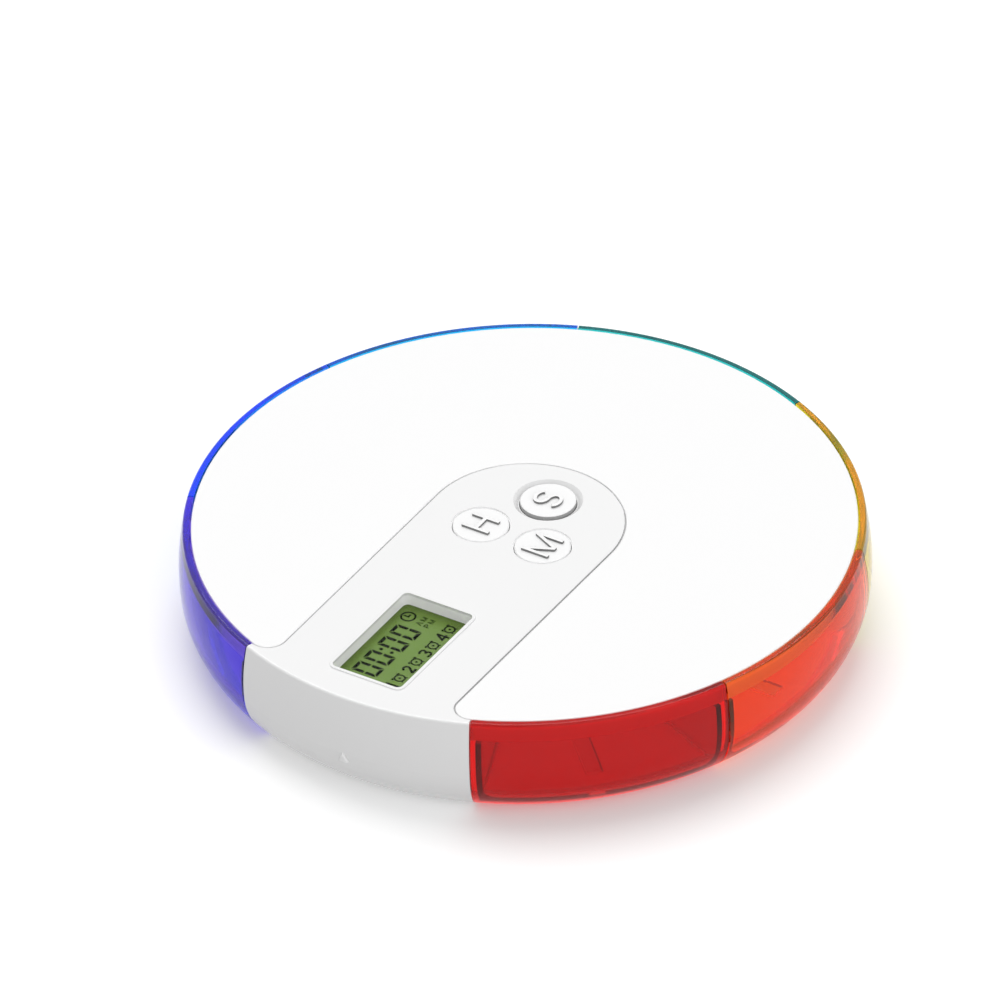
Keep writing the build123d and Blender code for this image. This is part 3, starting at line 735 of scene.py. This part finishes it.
def alarm_sign(r):
    """Small alarm clock: ring, two bells, two feet and a dot."""
    line, dot = r * 0.32, r * 0.26
    marks = ring(r, line) + [arc(0, 0, dot, dot, 0, 330, 11)]
    for side in (-1, 1):
        bell = [(side * r * 1.22, r * 0.8), (side * r * 0.74, r * 1.22)]
        foot = [(side * r * 0.64, -r * 0.86), (side * r * 0.88, -r * 1.2)]
        marks += [stroke_outline(bell, line * 1.2), stroke_outline(foot, line)]
    return marks


# Pieces


class PILLBOX_OT_plastics(bpy.types.Operator):
    """Finish of the white plate, housing, tray and keys"""

    bl_idname = "pillbox.plastics"
    bl_label = "White plastics"

    def execute(self, context):
        colours = context.scene.pillbox_colours
        cover = smooth_white("plate_white", tuple(colours.plate))
        tray = plastic("tray_white", tuple(colours.tray), (0.4, 0.5), tone=0.05)
        light_bays(tray)
        finish_node("top_plate", cover)
        finish_node("upper_housing", housing_white(tuple(colours.island)))
        finish_node("base_tray", tray)
        finish_node("battery_door", tray)
        set_key = smooth_white("key_white", tuple(colours.plate))
        # Painted shade on the set key's upright sides
        shade_sides(set_key, KEY_SIDE_SHADE)
        for name in KEYS:
            finish_node("button_" + name, set_key if name == "set" else cover)
            finish_node("plunger_" + name, plastic("plunger_" + name, grey(0.02), (0.5, 0.6)))
        return {"FINISHED"}


class PILLBOX_OT_drawers(bpy.types.Operator):
    """Tinted see-through finish of the seven drawers"""

    bl_idname = "pillbox.drawers"
    bl_label = "Drawers"

    def execute(self, context):
        colours = context.scene.pillbox_colours
        for day in DAYS:
            finish_node("drawer_" + day, tinted_plastic("clear_" + day, tuple(getattr(colours, day))))
        return {"FINISHED"}


class PILLBOX_OT_works(bpy.types.Operator):
    """Finish of the board, its parts, the contacts and the display's holder"""

    bl_idname = "pillbox.works"
    bl_label = "Inner works"

    def execute(self, context):
        black = plastic("switch_black", (0.02, 0.02, 0.022), (0.4, 0.6), tone=0.3)
        steel = metal("screw_steel", (0.6, 0.6, 0.62))
        finish_node("circuit_board", circuit_green())
        finish_node("tact_switches", black)
        finish_node("board_chip", plastic("chip_black", grey(0.015), (0.55, 0.7), tone=0.2))
        finish_node("buzzer", black)
        finish_node("board_screws", steel)
        finish_node("battery_contacts", metal("contact_metal", (0.75, 0.72, 0.62)))
        finish_node("lcd_frame", plastic("holder_grey", (0.3, 0.3, 0.32), (0.5, 0.6), tone=0.1))
        rubber = plastic("contact_rubber", (0.55, 0.25, 0.3), (0.6, 0.7), tone=0.2)
        finish_node("lcd_connectors", rubber)
        return {"FINISHED"}


class PILLBOX_OT_screws(bpy.types.Operator):
    """Case screws with a crossed head and a thread"""

    bl_idname = "pillbox.screws"
    bl_label = "Case screws"

    def execute(self, context):
        sizes = context.scene.pillbox_sizes
        core, ridge = 0.8 * MM, 1.05 * MM  # radii of the thread
        head_height, neck, thread_start = 1.65 * MM, 2.0 * MM, 2.2 * MM
        tip, unthreaded = 1.2 * MM, 3.6 * MM
        shape = bmesh.new()
        for foot, head, length in islands("case_screws"):
            outline = [(head * 0.8, 0.06 * MM), (head * 0.95, head * 0.1), (head, head * 0.25)]
            outline += [(head, head_height), (ridge, head_height + 0.05 * MM), (core, neck)]
            for turn in range(int((length - unthreaded) / sizes.thread_pitch)):
                along = thread_start + sizes.thread_pitch * turn
                outline += [(core, along), (ridge, along + sizes.thread_pitch / 2)]
            outline += [(core, length - tip), (0, length)]
            spin_outline(shape, outline, foot, UPWARDS, 24)
            cross_recess(shape, foot, sizes.recess_reach, sizes.recess_width, sizes.recess_depth)
        piece = keep_mesh("cross_screws", shape, made("screw_steel"), "housing")
        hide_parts("case_screws")
        return {"FINISHED"}


class PILLBOX_OT_feet(bpy.types.Operator):
    """Rubber feet with a round groove"""

    bl_idname = "pillbox.feet"
    bl_label = "Feet"

    def execute(self, context):
        groove = context.scene.pillbox_sizes.groove_radius
        mouth, floor, deep = 0.45 * MM, 0.3 * MM, 0.25 * MM  # half widths and depth of the groove
        rubber = plastic("foot_rubber", grey(0.6), (0.7, 0.85), tone=0.3, grain=1500)
        shape = bmesh.new()
        for foot, edge, top in islands("rubber_feet"):
            outline = [(0, top), (edge, top), (edge, 0.42 * MM), (edge - 0.05 * MM, 0.2 * MM)]
            outline += [(edge - 0.18 * MM, 0.06 * MM), (edge - 0.4 * MM, 0)]
            outline += [(groove + mouth, 0), (groove + floor, deep)]
            outline += [(groove - floor, deep), (groove - mouth, 0), (0, 0)]
            spin_outline(shape, outline, foot, UPWARDS, 48)
        piece = keep_mesh("grooved_feet", shape, rubber, "housing")
        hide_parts("rubber_feet")
        return {"FINISHED"}


class PILLBOX_OT_cells(bpy.types.Operator):
    """Two cells, each a shrunk sleeve over a metal can with its button"""

    bl_idname = "pillbox.cells"
    bl_label = "Cells"

    def execute(self, context):
        colours = context.scene.pillbox_colours
        radius, body, button, knob = 5.25 * MM, 43.3 * MM, 1.2 * MM, 1.9 * MM
        lip, waist = radius - 1.0 * MM, radius - 0.25 * MM
        low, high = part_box("battery_cells")
        middle = middle_of("battery_cells")
        apart = (high.x - low.x - 2 * radius) / 2
        sleeve, can, bands = bmesh.new(), bmesh.new(), []
        for side, start in ((1, low.y), (-1, high.y)):
            foot = Vector((middle.x + side * apart, start, middle.z))
            axis = (0, side, 0)
            outline = [(lip, 0), (radius - 0.3 * MM, 0), (radius - 0.08 * MM, 0.1 * MM)]
            outline += [(radius, 0.4 * MM), (radius, body - 2.6 * MM), (waist, body - 2.2 * MM)]
            outline += [(waist, body - 1.8 * MM), (radius, body - 1.4 * MM), (radius, body - 0.4 * MM)]
            outline += [(radius - 0.12 * MM, body - 0.1 * MM), (lip, body), (lip, 0)]
            spin_outline(sleeve, outline, foot, axis, 40)
            outline = [(0, 0.05 * MM), (2.9 * MM, 0.05 * MM), (3.2 * MM, 0.25 * MM), (lip, 0.25 * MM)]
            outline += [(lip, body - 0.2 * MM), (2.6 * MM, body - 0.2 * MM), (knob, body)]
            outline += [(knob, body + button - 0.3 * MM), (knob - 0.3 * MM, body + button)]
            spin_outline(can, outline + [(0, body + button)], foot, axis, 40)
            bands.append(foot + Vector((0, side * (body - 5 * MM), 0)))
        jacket = cell_jacket(tuple(colours.jacket), tuple(colours.band), bands)
        sleeves = keep_mesh("cell_sleeves", sleeve, jacket, "housing")
        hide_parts("battery_cells")
        steel = metal("cell_can", (0.7, 0.7, 0.68))
        cans = keep_mesh("cell_cans", can, steel, "housing")
        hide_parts("battery_cells")
        return {"FINISHED"}


class PILLBOX_OT_grip(bpy.types.Operator):
    """Thumb ribs in the dish of the battery door"""

    bl_idname = "pillbox.grip"
    bl_label = "Thumb ribs"

    def execute(self, context):
        sizes = context.scene.pillbox_sizes
        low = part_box("battery_door")[0]
        setback, dish, depth = 9.0 * MM, 4.5 * MM, 0.6 * MM  # the dish's place, radius and depth
        below, end_gap = 0.1 * MM, 0.6 * MM
        bottom, top = low.z + below, low.z + depth + below
        shape = bmesh.new()
        for number in range(-2, 3):
            aside = number * sizes.rib_pitch
            half, across = (dish**2 - aside**2) ** 0.5 - end_gap, low.y + setback + aside
            outline = stroke_outline([(-half, across), (half, across)], sizes.rib_width)
            raise_face(shape, outline, top, bottom, sizes.rib_width / 4)
        keep_mesh("door_ribs", shape, made("tray_white"), "battery_door")
        return {"FINISHED"}


class PILLBOX_OT_letters(bpy.types.Operator):
    """Raised letters on the three keys"""

    bl_idname = "pillbox.letters"
    bl_label = "Key letters"

    def execute(self, context):
        sizes, colours = context.scene.pillbox_sizes, context.scene.pillbox_colours
        raised = smooth_white("letter_white", tuple(colours.plate))
        # Painted shade on the letters' upright sides
        shade_sides(raised, LETTER_SIDE_SHADE)
        sunk, high = TOP - 0.05 * MM, TOP + sizes.letter_rise
        for name, draw in LETTERS.items():
            shape = bmesh.new()
            for outline in draw(sizes.letter_height, sizes.letter_stroke):
                turned = on_top(outline, KEYS[name].x, KEYS[name].y)
                raise_face(shape, turned, sunk, high, sizes.letter_edge)
            keep_mesh("letter_" + name, shape, raised, "button_" + name)
        return {"FINISHED"}


class PILLBOX_OT_arrow(bpy.types.Operator):
    """Small raised arrow in the middle of the white front"""

    bl_idname = "pillbox.arrow"
    bl_label = "Front arrow"

    def execute(self, context):
        sizes = context.scene.pillbox_sizes
        wide, high, rise = sizes.arrow_width / 2, sizes.arrow_height / 2, sizes.arrow_rise
        start = Vector((0, -100 * MM, sizes.arrow_place))
        found, spot, out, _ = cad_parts["upper_housing"].ray_cast(start, Vector((0, 1, 0)))
        if not found:
            raise RuntimeError("the arrow's place isn't on the white front")
        shape = bmesh.new()
        raise_face(shape, [(-wide, -high), (wide, -high), (0, high)], -rise / 2, rise, rise / 3)
        across = Vector((1, 0, 0))
        turn = Matrix((across, out.cross(across), out)).transposed().to_4x4()
        bmesh.ops.transform(shape, matrix=Matrix.Translation(spot) @ turn, verts=shape.verts)
        keep_mesh("front_arrow", shape, made("plate_white"), "housing")
        return {"FINISHED"}


class PILLBOX_OT_display(bpy.types.Operator):
    """Display panel, its dark shapes and its clear lens"""

    bl_idname = "pillbox.display"
    bl_label = "Display"

    def execute(self, context):
        sizes, colours = context.scene.pillbox_sizes, context.scene.pillbox_colours
        finish_node("lcd_panel", display_green(tuple(colours.display)))
        dull = {"rough": (0.8, 0.9), "tone": 0.1, "Specular IOR Level": 0.0}
        dark, faint = bmesh.new(), bmesh.new()
        ink_top = PANEL_HIGH.z + sizes.ink_thickness

        def in_mm(path):
            return [(u * MM, v * MM) for u, v in path]

        def draw(shape, outlines, across, up):
            for outline in outlines:
                moved = [(u + across * MM, v + up * MM) for u, v in outline]
                raise_face(shape, on_top(moved, WINDOW.x, WINDOW.y), PANEL_HIGH.z, ink_top)

        digit = sizes.digit_width, sizes.digit_height, sizes.digit_stroke, sizes.digit_gap
        for across in CLOCK_DIGITS:
            draw(dark, clock_nought(*digit), across, CLOCK_ROW)
        dot = COLON_RADIUS * MM
        for up in COLON_DOTS:
            draw(dark, [arc(0, 0, dot, dot, 0, 340, 17)], COLON, up)
        draw(dark, ring(CLOCK_RADIUS * MM, 0.42 * MM), *CLOCK_SIGN)
        draw(dark, [stroke_outline(in_mm(CLOCK_HANDS), 0.4 * MM)], *CLOCK_SIGN)
        digit_height, digit_width = ALARM_DIGIT
        for number in range(1, 5):
            across = ALARM_START + ALARM_STEP * (number - 1)
            figure = small_digit(number, digit_height * MM, digit_width * MM)
            draw(dark, figure, max(across, ALARM_EDGE), ALARM_ROW)
            draw(dark, alarm_sign(ALARM_SIGN_RADIUS * MM), across + ALARM_SIGN, ALARM_ROW)
        for path, up in zip((LETTER_A, LETTER_P), HALF_DAY_ROWS):
            draw(faint, [stroke_outline(in_mm(path), 0.26 * MM)], HALF_DAY_FIRST, up)
            draw(faint, letter_m(1.2 * MM, 0.24 * MM), HALF_DAY_SECOND, up)
        ink = plastic("display_ink", tuple(colours.ink), **dull)
        ghost = plastic("display_ghost", tuple(colours.ghost), **dull)
        keep_mesh("display_ink", dark, ink, "housing")
        keep_mesh("display_ghost", faint, ghost, "housing")

        low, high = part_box("lcd_lens")
        pane = bmesh.new()
        corners = [(low.x, low.y), (high.x, low.y), (high.x, high.y), (low.x, high.y)]
        raise_face(pane, corners, low.z + sizes.lens_gap, high.z)
        upright = [e for e in pane.edges if abs(e.verts[0].co.z - e.verts[1].co.z) > sizes.lens_gap]
        round_edges(pane, upright, sizes.lens_corner, 6)
        piece = keep_mesh("display_lens", pane, clear_lens(), "housing")
        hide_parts("lcd_lens")
        return {"FINISHED"}


class PILLBOX_OT_stage(bpy.types.Operator):
    """Pale floor, soft light and the photograph's camera"""

    bl_idname = "pillbox.stage"
    bl_label = "Stage"

    def execute(self, context):
        scene = context.scene
        scene.view_settings.view_transform = "Standard"
        self.lay_floor(scene)
        self.light_room(scene)
        self.hang_lamp(scene, "ceiling_light", (-0.35, 0.35, 1.0), strength=1.48, spread=50)
        self.hang_lamp(scene, "side_light", (0.8, -0.37, 0.47), strength=0.65, spread=60)
        self.place_camera(scene)
        return {"FINISHED"}

    def lay_floor(self, scene):
        shape = bmesh.new()
        bmesh.ops.create_grid(shape, x_segments=1, y_segments=1, size=6.0)
        mesh = bpy.data.meshes.new("floor")
        shape.to_mesh(mesh)
        shape.free()
        mesh.materials.append(floor_paper())
        floor = bpy.data.objects.new("floor", mesh)
        scene.collection.objects.link(floor)

    def light_room(self, scene):
        """A world that lights softly and shows white to the camera and in gloss."""
        world = bpy.data.worlds.new("soft_room")
        scene.world = world
        world.use_nodes = True
        tree = world.node_tree
        room = fill(tree, tree.nodes["Background"], Color=(1, 1, 1, 1), Strength=0.5)
        white = add_node(tree, "Background", Color=(1, 1, 1, 1), Strength=1.0)
        seen = {"_0": seen_directly(tree), "_1": room.outputs[0], "_2": white.outputs[0]}
        mixed = add_node(tree, "MixShader", **seen)
        fill(tree, tree.nodes["World Output"], Surface=mixed.outputs[0])

    def hang_lamp(self, scene, name, direction, strength, spread):
        """A far lamp with soft edges; spread is the angle that it fills, in degrees."""
        lamp = bpy.data.lights.new(name, "SUN")
        lamp.energy = strength
        lamp.angle = radians(spread)
        light = bpy.data.objects.new(name, lamp)
        scene.collection.objects.link(light)
        light.rotation_euler = Vector(direction).to_track_quat("Z", "Y").to_euler()

    def place_camera(self, scene):
        azimuth, elevation, roll = radians(AZIMUTH), radians(ELEVATION), radians(ROLL)
        ahead = cos(elevation)
        back = Vector((sin(azimuth) * ahead, -cos(azimuth) * ahead, sin(elevation)))
        level = Vector((cos(azimuth), sin(azimuth), 0))
        right = level * cos(roll) - back.cross(level) * sin(roll)
        up = back.cross(right)
        lens = bpy.data.cameras.new("photo_camera")
        lens.lens, lens.sensor_width = 1500, 36
        lens.clip_start, lens.clip_end = 1.0, 60.0
        camera = bpy.data.objects.new("photo_camera", lens)
        scene.collection.objects.link(camera)
        distance = PICTURE_WIDTH * PIXEL * lens.lens / lens.sensor_width
        aim = Vector((0, 0, TOP)) + right * AIM_RIGHT * PIXEL + up * AIM_UP * PIXEL
        turn = Matrix((right, up, back)).transposed().to_4x4()
        camera.matrix_world = Matrix.Translation(aim + back * distance) @ turn
        scene.camera = camera


class PILLBOX_PT_panel(bpy.types.Panel):
    """Lists the pieces, the stage and the values that a user can change"""

    bl_idname = "PILLBOX_PT_panel"
    bl_label = "Pill box"
    bl_space_type = "VIEW_3D"
    bl_region_type = "UI"
    bl_category = "Pill box"

    def draw(self, context):
        for cls in OPERATORS:
            self.layout.operator(cls.bl_idname)
        for group in (context.scene.pillbox_sizes, context.scene.pillbox_colours):
            for key in group.__annotations__:
                self.layout.prop(group, key)


OPERATORS = (
    PILLBOX_OT_plastics,
    PILLBOX_OT_drawers,
    PILLBOX_OT_works,
    PILLBOX_OT_screws,
    PILLBOX_OT_feet,
    PILLBOX_OT_cells,
    PILLBOX_OT_grip,
    PILLBOX_OT_letters,
    PILLBOX_OT_arrow,
    PILLBOX_OT_display,
    PILLBOX_OT_stage,
)
CLASSES = (PillBoxSizes, PillBoxColours, *OPERATORS, PILLBOX_PT_panel)


def register():
    for cls in CLASSES:
        bpy.utils.register_class(cls)
    bpy.types.Scene.pillbox_sizes = bpy.props.PointerProperty(type=PillBoxSizes)
    bpy.types.Scene.pillbox_colours = bpy.props.PointerProperty(type=PillBoxColours)


def unregister():
    del bpy.types.Scene.pillbox_sizes, bpy.types.Scene.pillbox_colours
    for cls in reversed(CLASSES):
        bpy.utils.unregister_class(cls)


def main():
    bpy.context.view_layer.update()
    register()
    bpy.ops.pillbox.plastics()
    bpy.ops.pillbox.drawers()
    bpy.ops.pillbox.works()
    bpy.ops.pillbox.screws()
    bpy.ops.pillbox.feet()
    bpy.ops.pillbox.cells()
    bpy.ops.pillbox.grip()
    bpy.ops.pillbox.letters()
    bpy.ops.pillbox.arrow()
    bpy.ops.pillbox.display()
    bpy.ops.pillbox.stage()


if __name__ == "__main__":
    main()
